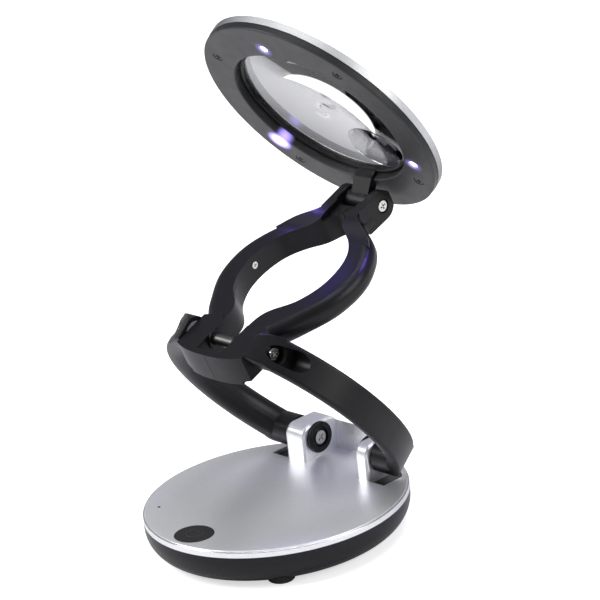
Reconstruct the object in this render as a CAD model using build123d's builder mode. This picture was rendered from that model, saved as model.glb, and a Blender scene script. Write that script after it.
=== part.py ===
from build123d import *
import os

os.makedirs("parts", exist_ok=True)

# Folding illuminated magnifier: oval weighted base, two folding arms, round lens head.
# The table is z = 0, x points right, the front is -y and the hinge of the base is at +y.
# Each arm and the head is drawn folded flat, on planes that carry it to its open position.

CUT = Mode.SUBTRACT
COMMON = Mode.INTERSECT

# =====================================================================  DRIVING SIZES
lift = 3.6  # height above the table of the datum for the plate, arms and head

# Hinge axes run along x; these are their places in the folded position.
axis_z = 27.7
hinge_y = 46.0   # base to lower arm
elbow_y = -54.4  # lower arm to upper arm
pivot_y = 52.3   # upper arm to head
hinge_at = [(hinge_y, axis_z)]
elbow_at = [(elbow_y, axis_z)]
pivot_at = [(pivot_y, axis_z)]

# Opening angles from the table for the arms, and of the head
lower_angle = 48.75
upper_angle = 22.2
head_angle = 53.6


# =====================================================================  PLACEMENT
def tilt(angle):
    return Location((0, 0, 0), (angle, 0, 0))


raised = Location((0, 0, lift))
hinge_folded = Location((0, hinge_y, axis_z))
elbow_folded = Location((0, elbow_y, axis_z))
pivot_folded = Location((0, pivot_y, axis_z))

lower_turn = hinge_folded * tilt(-lower_angle)
elbow_open = Location((lower_turn * Location((0, elbow_y - hinge_y, 0))).position)
upper_turn = elbow_open * tilt(upper_angle)
pivot_open = Location((upper_turn * Location((0, pivot_y - elbow_y, 0))).position)
head_turn = pivot_open * tilt(-head_angle)

on_base = raised
on_lower = raised * lower_turn * hinge_folded.inverse()
on_upper = raised * upper_turn * elbow_folded.inverse()
on_head = raised * head_turn * pivot_folded.inverse()


# =====================================================================  HELPERS
def level(z):
    """Horizontal plane at height z above the table."""
    return Plane.XY.offset(z)


def flat(place, z):
    """Plane across z of a placed group; its axes are the group's x and y."""
    return Plane(place * Location((0, 0, z)))


def side(place, x):
    """Plane across x of a placed group; its axes are the group's y and z."""
    return Plane(place * Plane.YZ.offset(x).location)


def start_x(hand, near, far):
    """Lowest x of the span near..far from the middle, right (hand 1) or left (hand -1)."""
    return min(hand * near, hand * far)


# The next three add to the part of the caller. A sketch made in a function does not
# join that part by itself, so it is handed to extrude.
def discs(plane, spots, radius, depth, mode=Mode.ADD):
    with BuildSketch(plane) as sketch:
        with Locations(*spots):
            Circle(radius)
    extrude(sketch.sketch, amount=depth, mode=mode)


def bars(plane, spots, width, height, depth, mode=Mode.ADD):
    with BuildSketch(plane) as sketch:
        with Locations(*spots):
            Rectangle(width, height)
    extrude(sketch.sketch, amount=depth, mode=mode)


def oval(plane, x_radius, y_radius, depth, mode=Mode.ADD, centre=(0, 0)):
    with BuildSketch(plane) as sketch:
        with Locations(centre):
            Ellipse(x_radius, y_radius)
    extrude(sketch.sketch, amount=depth, mode=mode)


# These draw into the sketch or line block of the caller.
def ring(spots, outer, inner):
    with Locations(*spots):
        Circle(outer)
        Circle(inner, mode=CUT)


def cross(spots, length, width, rotation=0):
    with Locations(*spots):
        Rectangle(length, width, rotation=rotation)
        Rectangle(width, length, rotation=rotation)


def strip(first_points, second_points):
    """Outline of the band between two curves."""
    first = Spline(*first_points)
    second = Spline(*second_points)
    Line(first @ 0, second @ 0)
    Line(first @ 1, second @ 1)


def pushed(points, distance):
    """The row of points moved to the left of its direction of travel."""
    moved = []
    for n, (x, y) in enumerate(points):
        before_x, before_y = points[max(n - 1, 0)]
        after_x, after_y = points[min(n + 1, len(points) - 1)]
        run_x, run_y = after_x - before_x, after_y - before_y
        size = (run_x * run_x + run_y * run_y) ** 0.5
        moved.append((x - run_y / size * distance, y + run_x / size * distance))
    return moved


def save(part, label):
    part.label = label
    export_step(part, f"parts/{label}.step")


def save_mirrored(part, label):
    """Save the left-hand twin of a right-hand part."""
    with BuildPart() as twin:
        mirror(part, about=Plane.YZ)
    save(twin.part, label)


# =====================================================================  BASE
base_rx, base_ry = 62.5, 67.5
foot_height = 1.0  # gap between the shell and the table
rim_z = 14.15      # joint between shell and trim ring, above the datum
trim_top = 17.0
shelf_z = 15.0     # underside of the top plate
plate_top = 17.4
plate_rx, plate_ry = 61.7, 66.7

screw_spots = [(x, y) for y in (-24, 18) for x in (-42, 42)]
foot_spots = [(x, y) for y in (-36, 36) for x in (-37, 37)]
post_spots = [(-14, -47), (14, -47)]
foot_r, foot_depth = 6.5, 2.8
base_thread_r = 1.25

# battery bay and its door
bay_y = -14
bay_at = [(0, bay_y)]
bay_width, bay_length = 50.4, 35
bay_wall = 1.5  # on every side
door_screw_at = [(0, 6.4)]
door_thread_r = 1.25

# batteries lie along x; hand is the side of the nub, 1 right and -1 left
battery_pitch, battery_z = 11.0, 8.4
battery_r, battery_end = 5.15, 21.9
battery_rows = [(bay_y - battery_pitch, 1), (bay_y, -1), (bay_y + battery_pitch, 1)]
contact_size, contact_end = 8.4, 25.2

# button and indicator
button_at = [(0, -54.8)]
button_r = 9.6
indicator_at = [(-38.3, -42.6)]
indicator_r = 0.8
board_z, board_t = 8.6, 1.6
board_top = board_z + board_t

# ears that hold the hinge
ear_front, ear_rear = 35.6, 60.7
ear_top, ear_bottom = 35.4, 16.0
ear_left = (-28.0, -15.2)  # x range
ear_right = (20.4, 28.0)
ear_corner_r = 6
wall_inner, swing_radius = 59.2, 8.4
bush_sleeve_r, bush_play = 4.5, 0.05

with BuildPart() as base_shell:
    oval(level(foot_height), base_rx, base_ry, rim_z + lift - foot_height)
    fillet(base_shell.edges().group_by(Axis.Z)[0], 14.0)
    # hollow, stepped inwards where the outside curves in: z, x radius, y radius
    for z, x_radius, y_radius in (
        (3.0, 53.4, 58.4), (5.0, 56.3, 61.3), (8.5, 58.8, 63.8), (12.0, 60.3, 65.3),
    ):
        oval(level(z), x_radius, y_radius, 20, CUT)
    # battery bay walls
    bars(level(2.5), bay_at, bay_width + 2 * bay_wall, bay_length + 2 * bay_wall, 11.3 + lift)
    bars(level(0.5), bay_at, bay_width, bay_length, 15 + lift, CUT)
    # ledge that carries the battery door
    with BuildSketch(level(2.2)):
        with Locations(*bay_at):
            Rectangle(51.4, 36)
            Rectangle(47.0, 32, mode=CUT)
    extrude(amount=1.0)
    # block for the door screw, with a seat for the door tab
    bars(level(2.2), door_screw_at, 9, 7, 4.8)
    bars(level(0.5), [(0, 5.8)], 7.2, 6, 1.7, CUT)
    discs(level(0.5), door_screw_at, door_thread_r, 6.0, CUT)
    # screw pillars and board posts
    discs(level(2.5), screw_spots, 3.6, 8.5 + lift)
    discs(level(2.5), post_spots, 2.2, 6.1 + lift)
    # floors of the two hinge pockets: z, x radius, y radius, depth
    for z, x_radius, y_radius, depth in (
        (9.0, 60.7, 65.7, 8.4), (17.0, 59.1, 64.1, 15.6 + lift - 17.0),
    ):
        with BuildSketch(level(z)):
            with Locations((33.25, 50), (-33.25, 50)):
                Rectangle(9.9, 28)
            Ellipse(x_radius, y_radius, mode=COMMON)
        extrude(amount=depth)
    # screw holes and counterbores
    discs(level(0.5), screw_spots, 1.6, 14 + lift, CUT)
    discs(level(0.5), screw_spots, 3.1, 3.5, CUT)
    # sockets for the feet
    discs(level(2.6), foot_spots, 7.7, 2.2)
    discs(level(0), foot_spots, foot_r, foot_depth, CUT)
save(base_shell.part, "base_shell")

with BuildPart() as rubber_feet:
    discs(level(0), foot_spots, foot_r, foot_depth)
    chamfer(rubber_feet.edges().group_by(Axis.Z)[0], 0.4)
save(rubber_feet.part, "rubber_feet")

with BuildPart() as base_trim_ring:
    with BuildSketch(flat(on_base, rim_z)):
        Ellipse(base_rx, base_ry)
        Ellipse(base_rx - 3, base_ry - 3, mode=CUT)
    extrude(amount=trim_top - rim_z)
    fillet(base_trim_ring.edges().group_by(Axis.Z)[-1].sort_by(SortBy.LENGTH)[-1], 0.5)
    # seat for the top plate
    oval(flat(on_base, shelf_z), plate_rx, plate_ry, 4, CUT)
save(base_trim_ring.part, "base_trim_ring")

with BuildPart() as base_top_cover:
    for x0, x1 in (ear_left, ear_right):
        with BuildSketch(side(on_base, x0)):
            with BuildLine():
                edge = Polyline(
                    (ear_rear, axis_z), (ear_rear, ear_bottom), (ear_front, ear_bottom),
                    (ear_front, ear_top - ear_corner_r),
                )
                corner = RadiusArc(edge @ 1, (ear_front + ear_corner_r, ear_top), ear_corner_r)
                swing = CenterArc((pivot_y, axis_z), swing_radius, 0, 66.44)
                Line(corner @ 1, swing @ 1)
            make_face()
        extrude(amount=x1 - x0)
    fillet(
        base_top_cover.edges()
        .filter_by(Axis.Z)
        .filter_by_position(Axis.Y, ear_front - 0.1, ear_front + 0.1)
        .filter_by_position(Axis.Z, 15.9 + lift, 35 + lift),
        1.6,
    )
    # rear wall that joins the two ears, reaching 0.5 into each
    with BuildSketch(side(on_base, ear_left[1] - 0.5)):
        with BuildLine():
            swing = CenterArc((pivot_y, axis_z), swing_radius, 0, 34.0)
            Polyline(
                swing @ 1, (wall_inner, (swing @ 1).Y), (wall_inner, ear_bottom),
                (ear_rear, ear_bottom), (ear_rear, axis_z),
            )
        make_face()
    extrude(amount=ear_right[0] - ear_left[1] + 1.0)
    # trim ears and wall to the oval, then add the plate
    oval(flat(on_base, 5), plate_rx - 0.7, plate_ry - 0.7, 60, COMMON)
    oval(flat(on_base, shelf_z), plate_rx, plate_ry, plate_top - shelf_z)
    plate_edges = base_top_cover.edges().filter_by_position(
        Axis.Z, plate_top + lift - 0.01, plate_top + lift + 0.01
    )
    fillet(plate_edges.sort_by(SortBy.LENGTH)[-1], 0.5)
    # relief behind the wall for the rim of the tilted head
    bars(flat(on_base, 16.4), [(0, 65.5)], 40, 9.0, 1.2, CUT)
    # pockets for the ends of the lower arm
    with BuildSketch(flat(on_base, 14)):
        with Locations((33.35, 52.8), (-33.35, 52.8)):
            Rectangle(10.3, 34.4)
        Ellipse(59.3, 64.3, mode=COMMON)
    extrude(amount=6, mode=CUT)
    # hinge bores
    discs(side(on_base, -40), hinge_at, bush_sleeve_r + bush_play, 80, CUT)
    # button and indicator openings
    with BuildSketch(flat(on_base, 14)):
        with Locations(*button_at):
            Circle(button_r + 0.1)
        with Locations(*indicator_at):
            Circle(indicator_r)
    extrude(amount=6, mode=CUT)
    # screw bosses under the plate
    discs(flat(on_base, 11.0), screw_spots, 3.5, 4.2)
    discs(flat(on_base, 11.0), screw_spots, base_thread_r, 4.6, CUT)
save(base_top_cover.part, "base_top_cover")

with BuildPart() as base_screws:
    for spot in screw_spots:
        discs(level(2.4), [spot], 2.7, 1.6)
        discs(level(3.9), [spot], base_thread_r, 10.6 + lift)
        with BuildSketch(level(2.3)):
            cross([spot], 3.2, 0.8)
        extrude(amount=0.9, mode=CUT)
save(base_screws.part, "base_screws")

with BuildPart() as battery_door:
    # panel with a tab for the screw
    with BuildSketch(level(foot_height)):
        with Locations(*bay_at):
            Rectangle(bay_width - 0.4, bay_length - 0.4)
        with Locations((0, 5.7)):
            Rectangle(6.9, 5.6)
    extrude(amount=1.2)
    # raised inner panel
    bars(level(2.1), bay_at, 46.6, 31.6, 0.9)
    discs(level(0.5), door_screw_at, 1.3, 3, CUT)
    # four grooves across the front of the outside
    with BuildSketch(level(0.9)):
        with GridLocations(0, 2.4, 1, 4):
            with Locations((0, -24)):
                Rectangle(16, 1.0)
    extrude(amount=0.5, mode=CUT)
save(battery_door.part, "battery_door")

with BuildPart() as battery_door_screw:
    discs(level(0.25), door_screw_at, 2.2, 0.75)
    discs(level(0.9), door_screw_at, door_thread_r, 5.3)
    with BuildSketch(level(0.1)):
        cross(door_screw_at, 2.6, 0.7)
    extrude(amount=0.55, mode=CUT)
save(battery_door_screw.part, "battery_door_screw")

with BuildPart() as batteries:
    for y, hand in battery_rows:
        row = [(y, battery_z)]
        discs(Plane.YZ.offset(-battery_end), row, battery_r, 2 * battery_end)
        discs(Plane.YZ.offset(start_x(hand, 21.8, 22.7)), row, 1.9, 0.9)
save(batteries.part, "batteries")

with BuildPart() as battery_contacts:
    for y, hand in battery_rows:
        row = [(y, battery_z)]
        # slotted block at the nub
        block_plane = Plane.YZ.offset(start_x(hand, 22.7, contact_end))
        bars(block_plane, row, contact_size, contact_size, 2.5)
        slot_plane = Plane.YZ.offset(start_x(hand, 23.3, 24.6))
        bars(slot_plane, row, 6.8, 9.5, 1.3, CUT)
        # thin plate with a tube, for the spring, at the far end
        plate_plane = Plane.YZ.offset(start_x(-hand, contact_end - 0.5, contact_end))
        bars(plate_plane, row, contact_size, contact_size, 0.5)
        with BuildSketch(Plane.YZ.offset(start_x(-hand, battery_end, 24.8))):
            ring(row, 3.2, 2.6)
        extrude(amount=2.9)
save(battery_contacts.part, "battery_contacts")

with BuildPart() as ballast_plate:
    with BuildSketch(level(3.0)):
        with Locations((0, 34)):
            Rectangle(55.6, 46)
        Ellipse(53.2, 58.2, mode=COMMON)
    extrude(amount=9.5)
    # notch around the block for the door screw
    bars(level(2.9), [(0, 8)], 12, 9, 12, CUT)
    chamfer(ballast_plate.edges().group_by(Axis.Z)[-1], 0.6)
save(ballast_plate.part, "ballast_plate")

with BuildPart() as control_board:
    with BuildSketch(flat(on_base, board_z)):
        with Locations((0, -49)):
            Rectangle(36, 25)
        Ellipse(59.5, 64.3, mode=COMMON)
    extrude(amount=board_t)
    # components: x, y, width, length
    with BuildSketch(flat(on_base, board_top)):
        for x, y, width, length in ((-12, -42, 5, 4), (11, -43, 3, 6), (-12, -52, 3.2, 1.6)):
            with Locations((x, y)):
                Rectangle(width, length)
    extrude(amount=1.2)
save(control_board.part, "control_board")

with BuildPart() as tact_switch:
    bars(flat(on_base, board_top), button_at, 6, 6, 1.5)
    discs(flat(on_base, board_top + 1.5), button_at, 1.75, 0.5)
save(tact_switch.part, "tact_switch")


def power_sign():
    """Broken circle with a bar in the gap, drawn into the caller's sketch."""
    with Locations(*button_at):
        Circle(4.3)
        Circle(3.4, mode=CUT)
        with Locations((0, 4.2)):
            Rectangle(3.2, 4.2, mode=CUT)
        with Locations((0, 3.2)):
            Rectangle(0.95, 4.4)


sign_z = 17.4  # floor of the engraved sign

with BuildPart() as power_button:
    discs(flat(on_base, 15.1), button_at, button_r, 2.6)
    fillet(power_button.edges().group_by(Axis.Z)[-1], 0.5)
    # underside: smaller disc, cross bar and central stub over the switch
    discs(flat(on_base, 13.9), button_at, button_r - 1, 1.3)
    bars(flat(on_base, 13.9), button_at, 23.6, 4.6, 0.95)
    discs(flat(on_base, 13.1), button_at, 2.2, 1.0)
    with BuildSketch(flat(on_base, sign_z)):
        power_sign()
    extrude(amount=0.4, mode=CUT)
save(power_button.part, "power_button")

with BuildPart() as power_symbol:
    with BuildSketch(flat(on_base, sign_z)):
        power_sign()
    extrude(amount=0.32)
save(power_symbol.part, "power_symbol")

with BuildPart() as indicator_lens:
    discs(flat(on_base, 13.2), indicator_at, indicator_r + 0.5, 1.8)
    discs(flat(on_base, 14.9), indicator_at, indicator_r, 2.55)
save(indicator_lens.part, "indicator_lens")

# =====================================================================  LOWER ARM
ring_rx, ring_ry, ring_t = 61.7, 67.0, 10.0
ring_z0, ring_z1 = 19.4, 36.0
boss_x, boss_r = 28.4, 8.3  # inner face and radius of the rounded hinge end
end_x, end_r = 22.2, 8.4    # inner face and corner radius of the elbow end
leg_x = 21.8                # outer face of the upper arm's leg at the elbow

bush_r = 8.0
bush_bore_r = 1.55
arm_screw_r = 1.5           # hinge and elbow screw shanks
shaft_r, shaft_half = 3.0, 27.0
elbow_bore_x = 29.6         # floor of the elbow counterbore

with BuildPart() as lower_arm_right:
    # half of an oval ring, cut off at the elbow end and behind the hinge
    with BuildSketch(flat(on_lower, ring_z0)):
        Ellipse(ring_rx, ring_ry)
        Ellipse(ring_rx - ring_t, ring_ry - ring_t, mode=CUT)
        with Locations((end_x + 30, (hinge_y - 70) / 2)):
            Rectangle(60, hinge_y + 70, mode=COMMON)
    extrude(amount=ring_z1 - ring_z0)
    rails = lower_arm_right.edges().filter_by(GeomType.ELLIPSE).sort_by(SortBy.LENGTH)
    fillet(rails[0:2], 7.4)
    rails = lower_arm_right.edges().filter_by(GeomType.ELLIPSE).sort_by(SortBy.LENGTH)
    fillet(rails[-2:], 1.6)
    # rounded end that turns about the base hinge
    discs(side(on_lower, boss_x), hinge_at, boss_r, 18)
    # knuckle around the elbow shaft
    discs(side(on_lower, end_x), elbow_at, boss_r, 13)
    oval(flat(on_lower, 5), ring_rx, ring_ry, 50, COMMON)
    # rounded upper corner of the elbow end
    with BuildSketch(side(on_lower, end_x - 2)):
        with Locations((elbow_y - 10, axis_z + 10)):
            Rectangle(20, 20)
        with Locations(*elbow_at):
            Circle(end_r, mode=CUT)
    extrude(amount=40, mode=CUT)
    # shaft socket, screw hole and deep counterbore
    discs(side(on_lower, end_x), elbow_at, shaft_r, shaft_half - end_x, CUT)
    discs(side(on_lower, end_x), elbow_at, 1.6, 20, CUT)
    discs(side(on_lower, elbow_bore_x), elbow_at, 4.4, 20, CUT)
    # the counterbore widens towards the rear near the outside
    with BuildSketch(side(on_lower, 35.0)):
        with Locations(*elbow_at):
            Circle(4.4)
        with Locations((elbow_y + 5.0, axis_z + 1.1)):
            Circle(5.0)
        make_hull()
    extrude(amount=20, mode=CUT)
    # thread for the hinge screw
    discs(side(on_lower, boss_x), hinge_at, arm_screw_r, 10.4, CUT)
save(lower_arm_right.part, "lower_arm_right")
save_mirrored(lower_arm_right.part, "lower_arm_left")

with BuildPart() as hinge_bush_left:
    # flange, sleeve, recess for the screw head, screw hole
    discs(side(on_lower, -15.15), hinge_at, bush_r, 1.95)
    fillet(hinge_bush_left.edges().sort_by(Axis.X)[-1], 0.5)
    discs(side(on_lower, -boss_x), hinge_at, bush_sleeve_r, 13.3)
    discs(side(on_lower, -14.5), hinge_at, 5.2, 3, CUT)
    discs(side(on_lower, -30), hinge_at, bush_bore_r, 20, CUT)
save(hinge_bush_left.part, "hinge_bush_left")

with BuildPart() as hinge_bush_right:
    # flange, sleeve, recess for the screw head, screw hole
    discs(side(on_lower, 19.2), hinge_at, bush_r, 1.15)
    fillet(hinge_bush_right.edges().sort_by(Axis.X)[0], 0.4)
    discs(side(on_lower, 20.2), hinge_at, bush_sleeve_r, boss_x - 20.2)
    discs(side(on_lower, 18), hinge_at, 3.5, 3.0, CUT)
    discs(side(on_lower, 18), hinge_at, bush_bore_r, 20, CUT)
save(hinge_bush_right.part, "hinge_bush_right")

with BuildPart() as hinge_screws:
    # left screw: head, shank, cross recess
    discs(side(on_lower, -14.5), hinge_at, 3.5, 1.2)
    discs(side(on_lower, -38.0), hinge_at, arm_screw_r, 23.6)
    with BuildSketch(side(on_lower, -14.2)):
        cross(hinge_at, 4.0, 0.9)
    extrude(amount=2, mode=CUT)
    # right screw: head, shank, cross recess
    discs(side(on_lower, 19.6), hinge_at, 3.2, 1.4)
    discs(side(on_lower, 20.9), hinge_at, arm_screw_r, 17.1)
    with BuildSketch(side(on_lower, 19.0)):
        cross(hinge_at, 4.0, 0.9)
    extrude(amount=1.5, mode=CUT)
save(hinge_screws.part, "hinge_screws")

with BuildPart() as elbow_shaft:
    discs(side(on_lower, -shaft_half), elbow_at, shaft_r, 2 * shaft_half)
    for x in (-28, 20):
        discs(side(on_lower, x), elbow_at, arm_screw_r, 8, CUT)
save(elbow_shaft.part, "elbow_shaft")

with BuildPart() as elbow_washers:
    for x in (leg_x, -end_x):
        with BuildSketch(side(on_lower, x)):
            ring(elbow_at, 6.2, shaft_r)
        extrude(amount=end_x - leg_x)
save(elbow_washers.part, "elbow_washers")

with BuildPart() as elbow_screws:
    for hand in (1, -1):
        # head, shank, cross recess
        discs(side(on_lower, start_x(hand, elbow_bore_x, 31.6)), elbow_at, 2.9, 2.0)
        discs(side(on_lower, start_x(hand, 20.6, 29.7)), elbow_at, arm_screw_r, 9.1)
        with BuildSketch(side(on_lower, start_x(hand, 30.6, 32.6))):
            cross(elbow_at, 3.6, 0.9)
        extrude(amount=2.0, mode=CUT)
save(elbow_screws.part, "elbow_screws")

# =====================================================================  UPPER ARM
rod_z0, rod_z1 = 19.4, 32.1
rod_rear_y = 43.6
middle_x = 0.1  # each half stops this far from the middle
leg_in = 8.2    # inner face of the leg
cover_z0, cover_z1 = 21.4, 30.1
block_z0, block_z1 = 18.4, 32.5
clevis_out, clevis_in, clevis_r = 12.8, 8.2, 7.6
clevis_top = axis_z + clevis_r
pin_r, pin_half = 2.5, 11.0
pivot_head_x = 11.6    # floor of the recess for the head of the pivot screw
pivot_thread_r = 1.2

cover_x = 27.6         # innermost face of the cover screw's seat
cover_screw_at = [(-3.0, 26.9)]
cover_screw_r = 0.9

# Outlines of the right rod in the group's x, y.
# outer side, front to rear
outer_curve = [
    (21.8, -47.5), (25.8, -40.9), (31.8, -32.0), (38.2, -20.5), (41.3, -7.0), (40.6, 4.5),
    (36.6, 15.0), (29.6, 25.0), (21.6, 31.0), (15.4, 35.0), (12.9, 39.0),
]
# stretch of the inner side that carries the cover, rear to front
cover_curve = [
    (14.5, 23.4), (19.0, 19.4), (23.4, 13.8), (26.6, 5.5),
    (27.6, -3.5), (26.8, -11.5), (24.2, -18.8), (20.0, -25.5),
]
# whole inner side, rear to front
inner_curve = [
    (middle_x, 37.5), (3.0, 35.8), (6.2, 31.0), (9.8, 26.8),
    *cover_curve,
    (14.0, -31.0), (9.8, -36.5), (8.3, -43.0), (8.2, -49.0),
]
# front of the elbow block, middle to side
front_curve = [(middle_x, -69.7), (9.5, -69.3), (17.0, -67.9), (leg_x, -66.0)]


def close_rod(outer, rear_x):
    """Complete the rod outline from its outer curve, in the caller's line block."""
    inner = Spline(*inner_curve)
    Line(outer @ 1, (rear_x, rod_rear_y))
    Line((rear_x, rod_rear_y), (middle_x, rod_rear_y))
    Line((middle_x, rod_rear_y), inner @ 0)
    Line(inner @ 1, outer @ 0)


with BuildPart() as upper_arm_right:
    with BuildSketch(flat(on_upper, rod_z0)):
        with BuildLine():
            close_rod(Spline(*outer_curve, tangents=[(0.15, 1), (0, 1)]), 12.9)
        make_face()
    extrude(amount=rod_z1 - rod_z0)
    rails = upper_arm_right.edges().filter_by(GeomType.BSPLINE).sort_by(Axis.X)
    fillet(rails[-2:], 5.4)
    # towards the clevis the rod rises in a saddle
    with BuildSketch(flat(on_upper, rod_z1 - 7)):
        with BuildLine():
            close_rod(Spline(*pushed(outer_curve, 1.5)), 12.0)
        make_face()
        with Locations((22, 32)):
            Rectangle(30, 23.2, mode=COMMON)
    extrude(amount=7 + clevis_top - rod_z1)
    with BuildSketch(side(on_upper, 0)):
        with BuildLine():
            rise = Spline((19.0, 32.0), (24.0, 32.5), (29.5, 34.4), (35.0, clevis_top))
            Polyline(rise @ 1, (35.0, 40.0), (19.0, 40.0), rise @ 0)
        make_face()
    extrude(amount=40, mode=CUT)
    # leg and front wall of the elbow block
    with BuildSketch(flat(on_upper, block_z0)):
        with BuildLine():
            front = Spline(*front_curve)
            Polyline(
                front @ 1, (leg_x, -45.5), (12.0, -42.0), (leg_in, -46.0),
                (leg_in, -66.2), (middle_x, -66.6), front @ 0,
            )
        make_face()
    extrude(amount=block_z1 - block_z0)
    # lip that hangs over the front edge of the base
    with BuildSketch(flat(on_upper, 16.6)):
        with BuildLine():
            front = Spline(*front_curve)
            Polyline(front @ 1, (leg_x, -60.0), (middle_x, -60.0), front @ 0)
        make_face()
        Ellipse(62.9, 67.9, mode=CUT)
        with Locations((8.55, -66)):
            Rectangle(16.9, 20, mode=COMMON)
    extrude(amount=1.9)
    # clevis ear with rounded end
    with BuildSketch(side(on_upper, clevis_in)):
        with Locations(*pivot_at):
            Circle(clevis_r)
        Polygon(
            (38.5, 20.6), (pivot_y, axis_z - clevis_r), (pivot_y, clevis_top),
            (37.0, clevis_top), (36.0, 31.9), align=None,
        )
        # flat towards the rear wall of the base
        with Locations((68.9, axis_z)):
            Rectangle(20, 40, mode=CUT)
    extrude(amount=clevis_out - clevis_in)
    # room for the neck between the ears
    bars(flat(on_upper, 15), [(0, rod_rear_y + 10)], 2 * clevis_in, 20, 25, CUT)
    # collar around the shaft
    discs(side(on_upper, leg_in - 1.0), elbow_at, 5.0, 1.2)
    # shaft bore and pin bore
    with BuildSketch(side(on_upper, 0)):
        with Locations(*elbow_at):
            Circle(shaft_r + 0.05)
        with Locations(*pivot_at):
            Circle(pin_r)
    extrude(amount=30, mode=CUT)
    # recess for the pivot screw
    discs(side(on_upper, pivot_head_x), pivot_at, 3.7, 5, CUT)
    # shallow bed for the inner cover
    with BuildSketch(flat(on_upper, cover_z0)):
        with BuildLine():
            strip(pushed(cover_curve, 2.0), pushed(cover_curve, -3.0))
        make_face()
    extrude(amount=cover_z1 - cover_z0, mode=CUT)
    # groove behind the cover for the wires
    with BuildSketch(flat(on_upper, 23.0)):
        with BuildLine():
            strip(pushed(cover_curve, 4.0), pushed(cover_curve, 1.0))
        make_face()
    extrude(amount=2.0, mode=CUT)
    # thread for the cover screw
    discs(side(on_upper, cover_x - 0.5), cover_screw_at, cover_screw_r, 7, CUT)
save(upper_arm_right.part, "upper_arm_right")
save_mirrored(upper_arm_right.part, "upper_arm_left")

with BuildPart() as upper_cover_right:
    with BuildSketch(flat(on_upper, cover_z0)):
        with BuildLine():
            strip(pushed(cover_curve, 1.95), pushed(cover_curve, 0.0))
        make_face()
    extrude(amount=cover_z1 - cover_z0)
    # recess for the screw head, then the screw hole
    discs(side(on_upper, cover_x - 2.5), cover_screw_at, 1.9, 3.5, CUT)
    discs(side(on_upper, cover_x - 2.5), cover_screw_at, 1.0, 7, CUT)
save(upper_cover_right.part, "upper_cover_right")
save_mirrored(upper_cover_right.part, "upper_cover_left")

with BuildPart() as cover_screws:
    discs(side(on_upper, cover_x + 0.05), cover_screw_at, 1.8, 0.95)
    discs(side(on_upper, cover_x + 0.9), cover_screw_at, cover_screw_r, 5.4)
    with BuildSketch(side(on_upper, cover_x - 0.3)):
        cross(cover_screw_at, 2.2, 0.55)
    extrude(amount=0.9, mode=CUT)
    mirror(about=Plane.YZ)
save(cover_screws.part, "cover_screws")

with BuildPart() as arm_wires:
    with BuildSketch(flat(on_upper, 23.3)):
        with BuildLine():
            strip(pushed(cover_curve, 3.6)[1:-1], pushed(cover_curve, 2.3)[1:-1])
        make_face()
    extrude(amount=1.3)
    mirror(about=Plane.YZ)
save(arm_wires.part, "arm_wires")

with BuildPart() as head_pin:
    discs(side(on_upper, -pin_half), pivot_at, pin_r, 2 * pin_half)
    for x in (-12, 7):
        discs(side(on_upper, x), pivot_at, pivot_thread_r, 5, CUT)
save(head_pin.part, "head_pin")

with BuildPart() as head_hinge_screws:
    discs(side(on_upper, pivot_head_x), pivot_at, 3.0, 1.1)
    fillet(head_hinge_screws.edges().sort_by(Axis.X)[-1], 0.4)
    discs(side(on_upper, 7.4), pivot_at, pivot_thread_r, 4.3)
    with BuildSketch(side(on_upper, 12.0)):
        cross(pivot_at, 3.6, 0.8)
    extrude(amount=2.0, mode=CUT)
    mirror(about=Plane.YZ)
save(head_hinge_screws.part, "head_hinge_screws")

# =====================================================================  HEAD
head_rx, head_ry = 62.1, 66.9
head_cy = pivot_y - 54.6
head_at = [(0, head_cy)]
head_z = 36.3  # lower face of the folded head
cover_rx, cover_ry = head_rx + 0.3, head_ry + 0.3

# heights above head_z
cover_joint = 3.7
board_height = 3.9
lens_bottom, lens_top = 6.4, 8.4

lens_open = 46.6      # radius of the opening in the ring
lens_r = 46.5
lens_clear = 44.8     # inner radius of the retainer
cover_open = 45.2
wall_r = 49.2         # inside of the cover around the lens
lens_bulge, lens_curve = 2.6, 385.0
spot_x, spot_y, spot_r = 18.5, 23.5, 14.5

led_ring, led_r = 51.9, 2.5
led_directions = ((0, -1), (0.8660254, 0.5), (-0.8660254, 0.5))
led_spots = [(led_ring * x, head_cy + led_ring * y) for x, y in led_directions]

screw_ring = 56.4
diagonal = screw_ring * 0.70710678
head_screw_spots = [(x, head_cy + y) for y in (diagonal, -diagonal) for x in (diagonal, -diagonal)]
head_thread_r = 1.1

neck_screw_y = 46.2
neck_screw_spots = [(3.6, neck_screw_y), (-3.6, neck_screw_y)]
neck_thread_r, neck_head_r = 1.0, 1.25
neck_screw_z = 32.4
neck_half = 5.6

head_plane = Plane(on_head)
head_up = Axis(head_plane.origin, head_plane.z_dir)


def head_level(height):
    """Plane parallel to the head at a height above head_z."""
    return flat(on_head, head_z + height)


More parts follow.
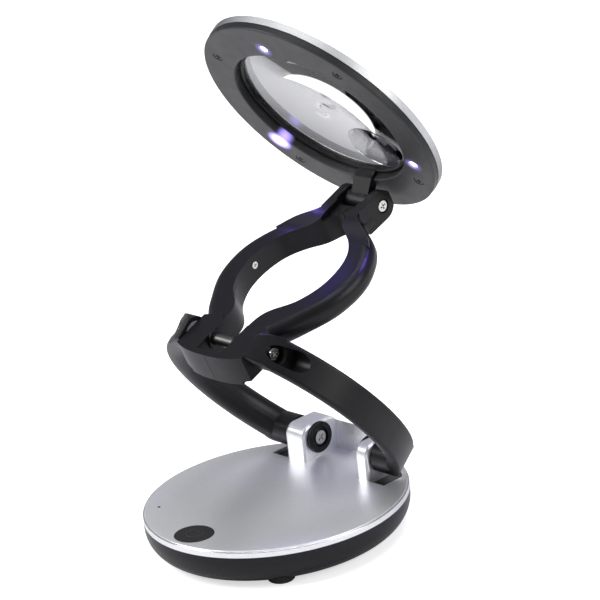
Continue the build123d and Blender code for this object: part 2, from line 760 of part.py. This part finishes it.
with BuildPart() as head_ring:
    with BuildSketch(head_level(0)):
        with Locations(*head_at):
            Ellipse(head_rx, head_ry)
            Circle(lens_open, mode=CUT)
    extrude(amount=2.0)
    rim = head_ring.edges().group_by(head_up)[0].sort_by(SortBy.LENGTH)
    fillet(rim[-1], 0.8)
    fillet(rim[0], 0.6)
    # outer wall, then the wall around the lens
    with BuildSketch(head_level(1.5)):
        with Locations(*head_at):
            Ellipse(head_rx, head_ry)
            Ellipse(head_rx - 2.0, head_ry - 2.0, mode=CUT)
    extrude(amount=2.2)
    with BuildSketch(head_level(1.5)):
        ring(head_at, 49.0, lens_open)
    extrude(amount=9.6)
    # openings for the leds, screw holes and counterbores, neck screw holes
    discs(head_level(-1), led_spots, led_r + 0.15, 5, CUT)
    discs(head_level(-1), head_screw_spots, 1.3, 5, CUT)
    discs(head_level(-1), head_screw_spots, 2.7, 2.1, CUT)
    discs(head_level(-1), neck_screw_spots, 1.05, 5, CUT)
    # pockets in the recess wall for the heads of the neck screws
    discs(head_level(2.0), neck_screw_spots, neck_head_r + 0.1, 12, CUT)
save(head_ring.part, "head_ring")

with BuildPart() as head_cover:
    oval(head_level(cover_joint), cover_rx, cover_ry, 3.6, centre=(0, head_cy))
    # domed top, from the oval edge to a circle
    with BuildSketch(head_level(cover_joint + 3.6)):
        with Locations(*head_at):
            Ellipse(cover_rx, cover_ry)
    with BuildSketch(head_level(9.9)):
        with Locations(*head_at):
            Ellipse(56.5, 60.5)
    with BuildSketch(head_level(12.0)):
        with Locations(*head_at):
            Circle(50.5)
    loft()
    # hollow around the lens wall, room for that wall, opening over the lens
    with BuildSketch(head_level(3.0)):
        with Locations(*head_at):
            Ellipse(head_rx - 1.7, head_ry - 1.7)
            Circle(wall_r, mode=CUT)
    extrude(amount=3.9, mode=CUT)
    discs(head_level(3.0), head_at, wall_r, 8.2, CUT)
    discs(head_level(3.0), head_at, cover_open, 20, CUT)
    # screw bosses
    discs(head_level(2.0), head_screw_spots, 2.8, 5.2)
    discs(head_level(1.9), head_screw_spots, head_thread_r, 5.0, CUT)
save(head_cover.part, "head_cover")

# disc trimmed by two large spheres, with a flat flange at the edge
with BuildPart() as lens:
    discs(head_level(lens_bottom - 4), head_at, lens_r - 0.6, 10)
    for sphere_z in (
        head_z + lens_top + lens_bulge - lens_curve,
        head_z + lens_bottom - lens_bulge + lens_curve,
    ):
        with Locations(on_head * Location((0, head_cy, sphere_z))):
            Sphere(lens_curve, mode=COMMON)
    discs(head_level(lens_bottom), head_at, lens_r, lens_top - lens_bottom)
save(lens.part, "lens")

# small strong lens bonded to the underside of the main lens, close to the neck
spot_cy = head_cy + spot_y
spot_edge_y = spot_cy + spot_r
spot_z = head_z + 2.9
spot_origin = head_plane.origin + head_plane.x_dir * spot_x + head_plane.y_dir * spot_cy

with BuildPart() as spot_lens:
    with BuildSketch(side(on_head, spot_x)):
        with BuildLine():
            ThreePointArc(
                (spot_cy, spot_z), (spot_cy + spot_r / 2, spot_z + 0.27),
                (spot_edge_y, spot_z + 1.1),
            )
            Polyline(
                (spot_edge_y, spot_z + 1.1), (spot_edge_y, spot_z + 4.0),
                (spot_cy, spot_z + 4.0), (spot_cy, spot_z),
            )
        make_face()
    revolve(axis=Axis(spot_origin, head_plane.z_dir))
    add(lens.part, mode=CUT)
save(spot_lens.part, "spot_lens")

with BuildPart() as lens_retainer:
    with BuildSketch(head_level(lens_bottom - 2.2)):
        ring(head_at, lens_r, lens_clear)
    extrude(amount=2.2)
    chamfer(lens_retainer.edges().group_by(head_up)[0].sort_by(SortBy.LENGTH)[0], 0.6)
save(lens_retainer.part, "lens_retainer")

with BuildPart() as lens_clamp_ring:
    with BuildSketch(head_level(lens_top)):
        ring(head_at, lens_r, cover_open)
    extrude(amount=2.7)
save(lens_clamp_ring.part, "lens_clamp_ring")

with BuildPart() as led_board:
    with BuildSketch(head_level(board_height)):
        ring(head_at, 57.0, wall_r)
        with Locations(*head_screw_spots):
            Circle(3.3, mode=CUT)
    extrude(amount=1.2)
save(led_board.part, "led_board")

with BuildPart() as leds:
    discs(head_level(board_height - 2.0), led_spots, led_r, 2.0)
    discs(head_level(0.4), led_spots, led_r, 1.5)
    fillet(leds.edges().group_by(head_up)[0], 1.4)
save(leds.part, "leds")

with BuildPart() as head_screws:
    discs(head_level(0.2), head_screw_spots, 2.4, 0.9)
    discs(head_level(1.0), head_screw_spots, head_thread_r, 5.5)
    with BuildSketch(head_level(-0.2)):
        cross(head_screw_spots, 3.0, 0.65, rotation=20)
    extrude(amount=0.95, mode=CUT)
save(head_screws.part, "head_screws")

with BuildPart() as head_neck:
    # barrel between the clevis ears, and the web that joins it to the head
    discs(side(on_head, -7.9), pivot_at, 6.0, 15.8)
    with BuildSketch(side(on_head, -neck_half)):
        Polygon(
            (42.2, head_z), (47.5, head_z), (49.4, 32.9), (pivot_y, axis_z), (46.5, 28.6),
            align=None,
        )
    extrude(amount=2 * neck_half)
    # tongue that locates in the lens opening
    bars(head_level(-0.5), [(0, 43.05)], 2 * neck_half, 1.7, 4.6)
    discs(side(on_head, -9), pivot_at, pin_r + 0.05, 18, CUT)
    discs(flat(on_head, neck_screw_z - 0.1), neck_screw_spots, neck_thread_r, 6, CUT)
save(head_neck.part, "head_neck")

with BuildPart() as neck_screws:
    shank = head_z + 2.0 - neck_screw_z + 0.1  # reaches 0.1 into the screw head
    discs(flat(on_head, neck_screw_z), neck_screw_spots, neck_thread_r, shank)
    discs(head_level(2.0), neck_screw_spots, neck_head_r, 1.0)
save(neck_screws.part, "neck_screws")
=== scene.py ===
"""Battery LED magnifier on a weighted base, with folding arms and a tilted lens head.

Metres, +Z up. The base stands on the floor at z = 0. The arms carry the head, whose open
underside, with the lenses and LEDs, faces down and towards -Y. The camera looks from +X, -Y.
"""

import math

import bmesh
import bpy
from mathutils import Matrix, Vector


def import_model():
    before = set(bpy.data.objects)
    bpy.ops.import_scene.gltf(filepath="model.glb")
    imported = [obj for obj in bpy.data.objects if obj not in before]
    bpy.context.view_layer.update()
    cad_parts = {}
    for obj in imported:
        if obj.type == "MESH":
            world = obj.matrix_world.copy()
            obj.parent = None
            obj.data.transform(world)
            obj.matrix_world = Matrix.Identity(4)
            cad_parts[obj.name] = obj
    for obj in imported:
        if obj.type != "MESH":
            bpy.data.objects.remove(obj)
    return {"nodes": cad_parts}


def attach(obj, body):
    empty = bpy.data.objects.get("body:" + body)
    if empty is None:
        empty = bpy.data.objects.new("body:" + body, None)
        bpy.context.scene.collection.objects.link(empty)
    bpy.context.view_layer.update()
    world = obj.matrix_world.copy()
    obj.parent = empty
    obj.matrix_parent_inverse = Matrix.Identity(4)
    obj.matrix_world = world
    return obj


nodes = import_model()["nodes"]
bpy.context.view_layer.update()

# ------------------------------------------------------------------ dimensions

# The head's own frame: its axis runs from the open underside to the cover.
HEAD_CENTRE = Vector((0.0, 0.05447835, 0.19429968))
HEAD_ACROSS = Vector((1.0, 0.0, 0.0))
HEAD_AXIS = Vector((0.0, 0.8048938, 0.59341889))
HEAD_DOWN = HEAD_AXIS.cross(HEAD_ACROSS)

CAMERA_PLACE = Vector((0.90087884, -0.8162177, 0.54483973))
CAMERA_RIGHT = Vector((0.70549125, 0.70198084, -0.09749356))
CAMERA_UP = Vector((-0.16918236, 0.30039696, 0.93869004))
CAMERA_BACK = Vector((0.68822919, -0.64574342, 0.33069021))

LED_GAP = 0.012             # vertices closer than this to a lump's centre belong to it
BRIGHT_LED_LIMIT = -0.02    # LEDs with x below this get the stronger painted glow on the underside
GLOW_DROP = 0.006           # from an LED's centre to its glow light, out of the underside

FLOOR_HALF_SIZE = 4.0
FLOOR_DROP = 0.00005        # keeps the floor just clear of the base
LIGHT_TARGET = Vector((0, 0, 0.1))

WHITE = (1, 1, 1, 1)
BLACK = (0, 0, 0, 1)

# ------------------------------------------------------------------ places on the product


def place_in(obj, world_point):
    """A world point in the object's own coordinates."""
    return obj.matrix_world.inverted() @ Vector(world_point)


def lump_centres(obj, gap):
    """Centres of the separate lumps of a piece, in world coordinates."""
    lumps = []  # each is [sum of points, number of points]
    for vertex in obj.data.vertices:
        point = obj.matrix_world @ vertex.co
        for lump in lumps:
            if (lump[0] / lump[1] - point).length < gap:
                lump[0] += point
                lump[1] += 1
                break
        else:
            lumps.append([point.copy(), 1])
    return [total / count for total, count in lumps]


def underside_point(ring):
    """The point of the head's axis level with the lowest vertex of the ring."""
    lowest = min((ring.matrix_world @ vertex.co - HEAD_CENTRE).dot(HEAD_AXIS)
                 for vertex in ring.data.vertices)
    return HEAD_CENTRE + HEAD_AXIS * lowest


led_centres = lump_centres(nodes["leds"], LED_GAP)

# ------------------------------------------------------------------ shader helpers


def feed(tree, socket, value):
    """Link another socket into an input, or set the input to a plain value."""
    if isinstance(value, bpy.types.NodeSocket):
        tree.links.new(value, socket)
    else:
        socket.default_value = value


def add_node(tree, kind, **settings):
    """Add a node; settings name its inputs (with _ for a space) or else its properties."""
    node = tree.nodes.new(kind)
    for name, value in settings.items():
        socket_name = name.replace("_", " ")
        if socket_name in node.inputs:
            feed(tree, node.inputs[socket_name], value)
        else:
            setattr(node, name, value)
    return node


def tone(colour, factor=1.0):
    """An opaque RGBA colour, brightened or darkened by a factor."""
    return tuple(channel * factor for channel in colour) + (1.0,)


class Shader:
    """A material under construction around its Principled node."""

    def __init__(self, name):
        self.material = bpy.data.materials.new(name)
        self.material.use_nodes = True
        self.tree = self.material.node_tree
        self.principled = self.tree.nodes["Principled BSDF"]
        self.coord = self.node("ShaderNodeTexCoord")

    def node(self, kind, **settings):
        return add_node(self.tree, kind, **settings)

    def surface(self, **inputs):
        """Set or link inputs of the Principled node."""
        for name, value in inputs.items():
            feed(self.tree, self.principled.inputs[name.replace("_", " ")], value)

    def noise(self, scale, detail=2.0, rough=0.5, stretch=None):
        vector = self.coord.outputs["Object"]
        if stretch:
            vector = self.node("ShaderNodeMapping", Scale=stretch, Vector=vector).outputs["Vector"]
        return self.node("ShaderNodeTexNoise", Scale=scale, Detail=detail, Roughness=rough,
                         Vector=vector).outputs["Fac"]

    def ramp(self, factor, stops):
        """A colour ramp through (position, colour) stops."""
        node = self.node("ShaderNodeValToRGB", Fac=factor)
        elements = node.color_ramp.elements
        for element, stop in ((elements[0], stops[0]), (elements[1], stops[-1])):
            element.position, element.color = stop
        for position, colour in stops[1:-1]:
            elements.new(position).color = colour
        return node.outputs["Color"]

    def map_range(self, value, source, target=(0.0, 1.0), interpolation="LINEAR"):
        return self.node("ShaderNodeMapRange", interpolation_type=interpolation, Value=value,
                         From_Min=source[0], From_Max=source[1],
                         To_Min=target[0], To_Max=target[1]).outputs["Result"]

    def spread(self, noise, low, high):
        """Stretch the middle of a noise over a range of values."""
        return self.map_range(noise, source=(0.3, 0.7), target=(low, high))

    def bump(self, height, strength, distance, normal=None):
        node = self.node("ShaderNodeBump", Strength=strength, Distance=distance, Height=height)
        if normal is not None:
            feed(self.tree, node.inputs["Normal"], normal)
        return node.outputs["Normal"]

    def soft_edges(self, radius):
        """A normal rounded over near edges, to soften their highlights."""
        return self.node("ShaderNodeBevel", samples=4, Radius=radius).outputs["Normal"]

    def mix(self, factor, first, second, blend_type="MIX"):
        """Mix two colours: the first at factor 0, the second at factor 1."""
        node = self.node("ShaderNodeMix", data_type="RGBA", blend_type=blend_type, Factor=factor)
        feed(self.tree, node.inputs[6], first)
        feed(self.tree, node.inputs[7], second)
        return node.outputs[2]

    def math(self, operation, first, second):
        node = self.node("ShaderNodeMath", operation=operation)
        feed(self.tree, node.inputs[0], first)
        feed(self.tree, node.inputs[1], second)
        return node.outputs["Value"]

    def vector_math(self, operation, first, second):
        node = self.node("ShaderNodeVectorMath", operation=operation)
        feed(self.tree, node.inputs[0], first)
        feed(self.tree, node.inputs[1], second)
        return node.outputs["Vector" if operation == "SUBTRACT" else "Value"]

    def see_through(self, factor, colour=WHITE):
        """Let rays straight through where the factor is 1."""
        transparent = self.node("ShaderNodeBsdfTransparent", Color=colour)
        mix = self.node("ShaderNodeMixShader", Fac=factor)
        feed(self.tree, mix.inputs[1], self.principled.outputs["BSDF"])
        feed(self.tree, mix.inputs[2], transparent.outputs["BSDF"])
        output = self.tree.nodes["Material Output"]
        feed(self.tree, output.inputs["Surface"], mix.outputs["Shader"])


# ------------------------------------------------------------------ materials
# In all of them, rough is the (low, high) range of roughness.


def moulded(name, colour, rough, grain=0.00003, spec=0.5, metallic=0.0, vary=0.12):
    """Moulding with slight tone variation, a fine grain and softened edges."""
    shader = Shader(name)
    broad = shader.noise(45.0, detail=3.0)
    fine = shader.noise(2600.0, detail=1.0)
    shader.surface(
        Base_Color=shader.ramp(broad, [(0.35, tone(colour, 1 - vary)),
                                       (0.65, tone(colour, 1 + vary))]),
        Roughness=shader.spread(shader.noise(160.0, detail=3.0), *rough),
        Metallic=metallic,
        Specular_IOR_Level=spec,
        Coat_Weight=0.0,
        Coat_Roughness=0.25,
        Normal=shader.bump(fine, strength=0.35, distance=grain,
                           normal=shader.soft_edges(0.00025)))
    return shader


def painted_silver(name, colour, rough, metallic=0.85, rim=1.0):
    """Silver paint: fine bright flake in a soft clear layer.

    A rim below 1 darkens the paint where the surface turns away from the viewer: painted shade.
    """
    shader = Shader(name)
    flake = shader.noise(4200.0, detail=1.0)
    cloud = shader.noise(30.0, detail=2.0)
    paint = shader.ramp(flake, [(0.35, tone(colour, 0.8)), (0.5, tone(colour)),
                                (0.68, tone(colour, 1.12))])
    if rim < 1.0:
        # Painted shade: the colour darkens where the surface turns away from the viewer.
        turn = shader.node("ShaderNodeLayerWeight", Blend=0.5)
        painted_rim_shade = shader.ramp(turn.outputs["Facing"],
                               [(0.0, WHITE), (0.4, WHITE), (0.8, (rim, rim, rim * 1.02, 1))])
        paint = shader.mix(1.0, paint, painted_rim_shade, blend_type="MULTIPLY")
    shader.surface(
        Base_Color=paint,
        Roughness=shader.spread(cloud, *rough),
        Metallic=metallic,
        Coat_Weight=0.25,
        Coat_Roughness=0.18,
        Normal=shader.bump(flake, strength=0.12, distance=0.00002,
                           normal=shader.soft_edges(0.0003)))
    return shader


def turned(name, colour, rough, axis=0):
    """Machined or plated metal with fine lines stacked along an axis (0 is X, 2 is Z)."""
    shader = Shader(name)
    stretch = [40.0, 40.0, 40.0]
    stretch[axis] = 9000.0
    lines = shader.noise(1.0, detail=2.0, rough=0.6, stretch=stretch)
    shader.surface(
        Base_Color=shader.ramp(lines, [(0.3, tone(colour, 0.85)), (0.7, tone(colour, 1.08))]),
        Roughness=shader.spread(lines, *rough),
        Metallic=1.0,
        Normal=shader.bump(lines, strength=0.15, distance=0.00002,
                           normal=shader.soft_edges(0.00015)))
    return shader


def rubbery(name, colour):
    """Matt, finely pitted rubber."""
    shader = Shader(name)
    patches = shader.noise(300.0, detail=3.0)
    shader.surface(
        Base_Color=shader.ramp(patches, [(0.3, tone(colour, 0.8)), (0.7, tone(colour, 1.25))]),
        Roughness=shader.spread(shader.noise(900.0), 0.7, 0.85),
        Normal=shader.bump(shader.noise(3500.0, detail=2.0), strength=0.5, distance=0.00005))
    return shader


def board(name, mask, trace):
    """Circuit board: solder mask over a pattern of traces, with a soft gloss."""
    shader = Shader(name)
    cells = shader.node("ShaderNodeTexVoronoi", Scale=420.0, distance="MANHATTAN", feature="F1",
                        Vector=shader.coord.outputs["Object"]).outputs["Distance"]
    shader.surface(
        Base_Color=shader.ramp(cells, [(0.28, tone(trace)), (0.34, tone(mask)),
                                       (1.0, tone(mask, 0.9))]),
        Roughness=shader.spread(shader.noise(500.0), 0.25, 0.4),
        Normal=shader.bump(cells, strength=0.2, distance=0.00004))
    return shader


def lit(name, centre, edge, strength):
    """A glowing LED lens: bright where it faces the viewer, another colour at its rim."""
    shader = Shader(name)
    facing = shader.node("ShaderNodeLayerWeight", Blend=0.35).outputs["Facing"]
    shader.surface(
        Emission_Color=shader.ramp(facing, [(0.0, centre), (0.45, centre), (0.9, edge)]),
        Emission_Strength=shader.map_range(facing, source=(0.0, 1.0),
                                           target=(strength, strength * 0.25)),
        Base_Color=shader.ramp(shader.noise(700.0), [(0.3, (0.7, 0.7, 0.9, 1)),
                                                     (0.7, (0.9, 0.9, 1, 1))]),
        Roughness=0.12)
    return shader


def underside(name, colour, obj):
    """Grey open face with a painted violet glow around every LED, emitted by the surface itself,
    and nearly black walls.
    """
    shader = moulded(name, colour, rough=(0.4, 0.48), spec=0.4)
    position = shader.node("ShaderNodeTexCoord").outputs["Object"]

    # Painted light: violet emission on the face, fading out from each LED's centre.
    painted_glow_sum = None
    for centre in led_centres:
        power, reach = (4.5, 0.0082) if centre.x < BRIGHT_LED_LIMIT else (0.5, 0.006)
        distance = shader.vector_math("DISTANCE", position, place_in(obj, centre))
        glow = shader.map_range(distance, source=(0.002, reach), target=(power, 0.0),
                                interpolation="SMOOTHERSTEP")
        painted_glow_sum = glow if painted_glow_sum is None else shader.math("ADD", painted_glow_sum, glow)

    # Only the thin layer at the open face keeps the grey.
    local = shader.vector_math("SUBTRACT", position, place_in(obj, underside_point(obj)))
    height = shader.vector_math("DOT_PRODUCT", local, HEAD_AXIS)
    grey = shader.principled.inputs["Base Color"].links[0].from_socket
    shader.surface(
        Emission_Color=(0.36, 0.28, 1.0, 1),
        Emission_Strength=painted_glow_sum,
        Base_Color=shader.mix(shader.map_range(height, source=(0.0003, 0.0008)),
                              grey, (0.008, 0.008, 0.009, 1)))
    return shader


def magnifier(name, obj, painted_highlight_disc=None):
    """Polished acrylic with painted light in its colour: a grey middle of painted shade, a white
    arc of painted highlight towards +X and the top, and a rim darkened by painted shade.

    If given, the extra disc is one more painted highlight in the painted reflection.
    """
    shader = Shader(name)
    haze = shader.noise(60.0, detail=3.0)
    haze_rough = 0.003
    shader.surface(Roughness=shader.spread(haze, haze_rough, haze_rough * 1.8),
                   Transmission_Weight=1.0, IOR=1.49)
    # Shadow rays go straight through.
    shader.see_through(shader.node("ShaderNodeLightPath").outputs["Is Shadow Ray"],
                       colour=tone((1.0, 1.0, 1.0), 0.97))

    # Position in the plane of the head, from its centre.
    position = shader.node("ShaderNodeTexCoord").outputs["Object"]
    local = shader.vector_math("SUBTRACT", position, place_in(obj, HEAD_CENTRE))
    along_x = shader.vector_math("DOT_PRODUCT", local, HEAD_ACROSS)
    along_down = shader.vector_math("DOT_PRODUCT", local, HEAD_DOWN)
    flat = shader.node("ShaderNodeCombineXYZ", X=along_x, Y=along_down).outputs["Vector"]

    def disc(across, down, radius, softness):
        """1 inside a disc in the plane of the head, 0 outside it."""
        distance = shader.vector_math("DISTANCE", flat, (across, down, 0))
        return shader.map_range(distance, source=(radius - softness, radius + softness),
                                target=(1.0, 0.0), interpolation="SMOOTHSTEP")

    outer_centre = {"across": 0.0047, "down": -0.0047}
    inner = disc(across=-0.0125, down=0.0117, radius=0.038, softness=0.0005)

    # Painted shade: the rim colour darkens towards +X.
    rim = shader.mix(shader.map_range(along_x, source=(-0.022, 0.008)),
                     (0.6, 0.6, 0.62, 1), (0.32, 0.32, 0.34, 1))
    # Painted highlight: white inside the outer disc, over the shaded rim.
    painted_crescent = shader.mix(disc(**outer_centre, radius=0.0264, softness=0.0006), rim, WHITE)
    # Painted shade: the grey middle, lighter towards the head's down direction.
    painted_heart = shader.mix(shader.map_range(along_down, source=(-0.03, 0.03)),
                       (0.60, 0.60, 0.62, 1), (0.80, 0.80, 0.815, 1))

    # Painted reflection: light emitted by the underside, standing in for a mirrored highlight,
    # seen only from close to the camera's direction.
    painted_glint = shader.mix(inner,
                       shader.mix(disc(**outer_centre, radius=0.0258, softness=0.0005),
                                  BLACK, WHITE),
                       BLACK)
    if painted_highlight_disc is not None:
        painted_glint = shader.mix(disc(**painted_highlight_disc), painted_glint, WHITE)
    geometry = shader.node("ShaderNodeNewGeometry")
    facing = shader.vector_math("DOT_PRODUCT", geometry.outputs["True Normal"], -HEAD_AXIS)
    on_underside = shader.math("GREATER_THAN", facing, 0.6)
    aim = shader.vector_math("DOT_PRODUCT", geometry.outputs["Incoming"], CAMERA_BACK)
    in_view = shader.map_range(aim, source=(0.9, 0.985), interpolation="SMOOTHSTEP")
    shader.surface(Base_Color=shader.mix(inner, painted_crescent, painted_heart),
                   Emission_Color=painted_glint,
                   Emission_Strength=shader.math("MULTIPLY", on_underside, in_view))
    return shader


# ------------------------------------------------------------------ finish of every piece

# Each row is a material and the pieces that wear it.
FINISHES = [
    (moulded("black_satin", (0.0045, 0.0045, 0.0055), rough=(0.34, 0.38), spec=0.3, vary=0.06),
     "lower_arm_right lower_arm_left hinge_bush_left hinge_bush_right upper_arm_right "
     "upper_arm_left upper_cover_right upper_cover_left lens_retainer lens_clamp_ring head_neck"),
    (moulded("black_base_satin", (0.0055, 0.0055, 0.008), rough=(0.3, 0.32), spec=0.26,
             vary=0.05, grain=0.00001),
     "base_shell battery_door"),
    # The head ring carries a painted violet glow around each LED.
    (underside("head_underside_grey", (0.036, 0.036, 0.038), nodes["head_ring"]),
     "head_ring"),
    (painted_silver("silver_plate", (0.93, 0.935, 0.95), rough=(0.33, 0.345), metallic=0.72),
     "base_top_cover"),
    # The head cover gets painted shade at its edges, where it turns away from the viewer.
    (painted_silver("silver_head_cover", (0.62, 0.625, 0.635), rough=(0.36, 0.38),
                    metallic=0.45, rim=0.25),
     "head_cover"),
    (painted_silver("silver_trim", (0.82, 0.82, 0.84), rough=(0.16, 0.2)),
     "base_trim_ring"),
    (moulded("button_dark", (0.016, 0.016, 0.0165), rough=(0.42, 0.46), spec=0.28),
     "power_button"),
    (rubbery("rubber_ring", (0.02, 0.02, 0.02)),
     "rubber_feet rubber_foot_ring"),
    (turned("turned_steel", (0.16, 0.16, 0.15), rough=(0.3, 0.42)),
     "elbow_shaft head_pin"),
    (turned("plated_screw", (0.72, 0.71, 0.68), rough=(0.1, 0.18)),
     "hinge_screws elbow_screws cover_screws head_hinge_screws neck_screws"),
    (turned("black_oxide_screw", (0.05, 0.05, 0.052), rough=(0.28, 0.4)),
     "base_screws battery_door_screw tact_switch head_screws"),
    (moulded("friction_washer", (0.2, 0.2, 0.205), rough=(0.5, 0.6)),
     "elbow_washers"),
    (moulded("cast_ballast", (0.16, 0.16, 0.165), rough=(0.55, 0.75), metallic=0.6,
             grain=0.0002),
     "ballast_plate"),
    (moulded("battery_jacket", (0.06, 0.065, 0.09), rough=(0.22, 0.3), metallic=0.4),
     "batteries"),
    (turned("nickel_contact", (0.7, 0.67, 0.6), rough=(0.2, 0.32), axis=2),
     "battery_contacts"),
    (board("green_board", mask=(0.01, 0.12, 0.05), trace=(0.05, 0.25, 0.1)),
     "control_board"),
    (board("white_board", mask=(0.75, 0.75, 0.73), trace=(0.6, 0.6, 0.58)),
     "led_board"),
    (moulded("wire_jacket", (0.35, 0.02, 0.02), rough=(0.4, 0.5)),
     "arm_wires"),
    (moulded("symbol_fill", (0.012, 0.012, 0.012), rough=(0.12, 0.18)),
     "power_symbol"),
    (moulded("indicator_dark", (0.02, 0.02, 0.025), rough=(0.1, 0.16)),
     "indicator_lens"),
    (lit("led_lit", centre=(0.85, 0.86, 1.0, 1), edge=(0.20, 0.14, 1.0, 1), strength=14.0),
     "leds"),
    # Both lenses carry painted shade, painted highlights and a painted reflection in their colour
    # and emission.
    (magnifier("magnifier_acrylic", nodes["lens"]),
     "lens"),
    (magnifier("spot_acrylic", nodes["spot_lens"],
               painted_highlight_disc={"across": 0.0305, "down": 0.006, "radius": 0.0048, "softness": 0.0014}),
     "spot_lens"),
]
finish_of = {piece: shader.material for shader, pieces in FINISHES for piece in pieces.split()}

for name, obj in nodes.items():
    obj.data.materials.clear()
    obj.data.materials.append(finish_of[name])
    for polygon in obj.data.polygons:
        polygon.material_index = 0
    even_normals = obj.modifiers.new("even_normals", "WEIGHTED_NORMAL")
    even_normals.keep_sharp = True

# ------------------------------------------------------------------ camera


def add_object(name, data):
    obj = bpy.data.objects.new(name, data)
    bpy.context.scene.collection.objects.link(obj)
    return obj


def build_camera():
    data = bpy.data.cameras.new("camera")
    data.sensor_width = 36.0
    data.lens = 163.1225
    data.clip_start = 0.01
    data.clip_end = 20.0
    camera = add_object("camera", data)
    turn = Matrix((CAMERA_RIGHT, CAMERA_UP, CAMERA_BACK)).transposed()
    camera.matrix_world = Matrix.Translation(CAMERA_PLACE) @ turn.to_4x4()
    bpy.context.scene.camera = camera


build_camera()

# ------------------------------------------------------------------ floor


def floor_material():
    """Pale floor, lifted towards white for the camera and invisible to it from below."""
    shader = Shader("pale_floor")
    camera_ray = shader.node("ShaderNodeLightPath").outputs["Is Camera Ray"]
    shader.surface(
        Base_Color=shader.ramp(shader.noise(3.0), [(0.3, (0.88, 0.88, 0.885, 1)),
                                                   (0.7, (0.9, 0.9, 0.905, 1))]),
        Roughness=0.7,
        Emission_Color=WHITE,
        Emission_Strength=shader.math("MULTIPLY", camera_ray, 0.62))
    backfacing = shader.node("ShaderNodeNewGeometry").outputs["Backfacing"]
    shader.see_through(shader.math("MULTIPLY", backfacing, camera_ray))
    return shader.material


def build_floor():
    grid = bmesh.new()
    bmesh.ops.create_grid(grid, x_segments=8, y_segments=8, size=FLOOR_HALF_SIZE)
    mesh = bpy.data.meshes.new("floor")
    grid.to_mesh(mesh)
    grid.free()
    mesh.materials.append(floor_material())
    floor = add_object("floor", mesh)
    floor.location = (0, 0, -FLOOR_DROP)


build_floor()

# ------------------------------------------------------------------ world and lights


def build_world():
    """Dim bluish ambient light, with a white backdrop for the camera only."""
    world = bpy.data.worlds.new("studio")
    bpy.context.scene.world = world
    world.use_nodes = True
    tree = world.node_tree
    ambient = tree.nodes["Background"]
    ambient.inputs["Color"].default_value = (0.93, 0.94, 1.0, 1)
    ambient.inputs["Strength"].default_value = 0.3
    backdrop = add_node(tree, "ShaderNodeBackground", Color=WHITE, Strength=1.0)
    ray = add_node(tree, "ShaderNodeLightPath")
    mix = add_node(tree, "ShaderNodeMixShader", Fac=ray.outputs["Is Camera Ray"])
    feed(tree, mix.inputs[1], ambient.outputs["Background"])
    feed(tree, mix.inputs[2], backdrop.outputs["Background"])
    feed(tree, tree.nodes["World Output"].inputs["Surface"], mix.outputs["Shader"])


def aim_along(direction):
    """The rotation that points a light along a direction."""
    return direction.to_track_quat("-Z", "Y").to_euler()


def area_light(name, place, size, power):
    """A square light aimed at the product."""
    data = bpy.data.lights.new(name, "AREA")
    data.energy = power
    data.color = (1, 1, 1)
    data.shape = "RECTANGLE"
    data.size = size
    data.size_y = size
    light = add_object(name, data)
    light.location = place
    light.rotation_euler = aim_along(LIGHT_TARGET - Vector(place))


def led_glow(index, centre):
    """Violet light thrown out of the underside by one LED; it moves with the head."""
    name = "lamp_glow_%d" % index
    data = bpy.data.lights.new(name, "SPOT")
    data.energy = 0.07
    data.color = (0.22, 0.13, 1.0)
    data.shadow_soft_size = 0.003
    data.spot_size = math.radians(150)
    data.spot_blend = 0.6
    light = add_object(name, data)
    light.location = centre - HEAD_AXIS * GLOW_DROP
    light.rotation_euler = aim_along(-HEAD_AXIS)
    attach(light, "head")


build_world()
area_light("key", place=(-0.7, -1.0, 1.1), size=0.8, power=17.0)
area_light("fill", place=(1.3, 0.5, 0.8), size=0.9, power=9.0)
area_light("top", place=(0.0, 0.3, 1.5), size=1.0, power=12.0)
for i, centre in enumerate(led_centres):
    led_glow(i, centre)

bpy.context.scene.view_settings.view_transform = "Standard"
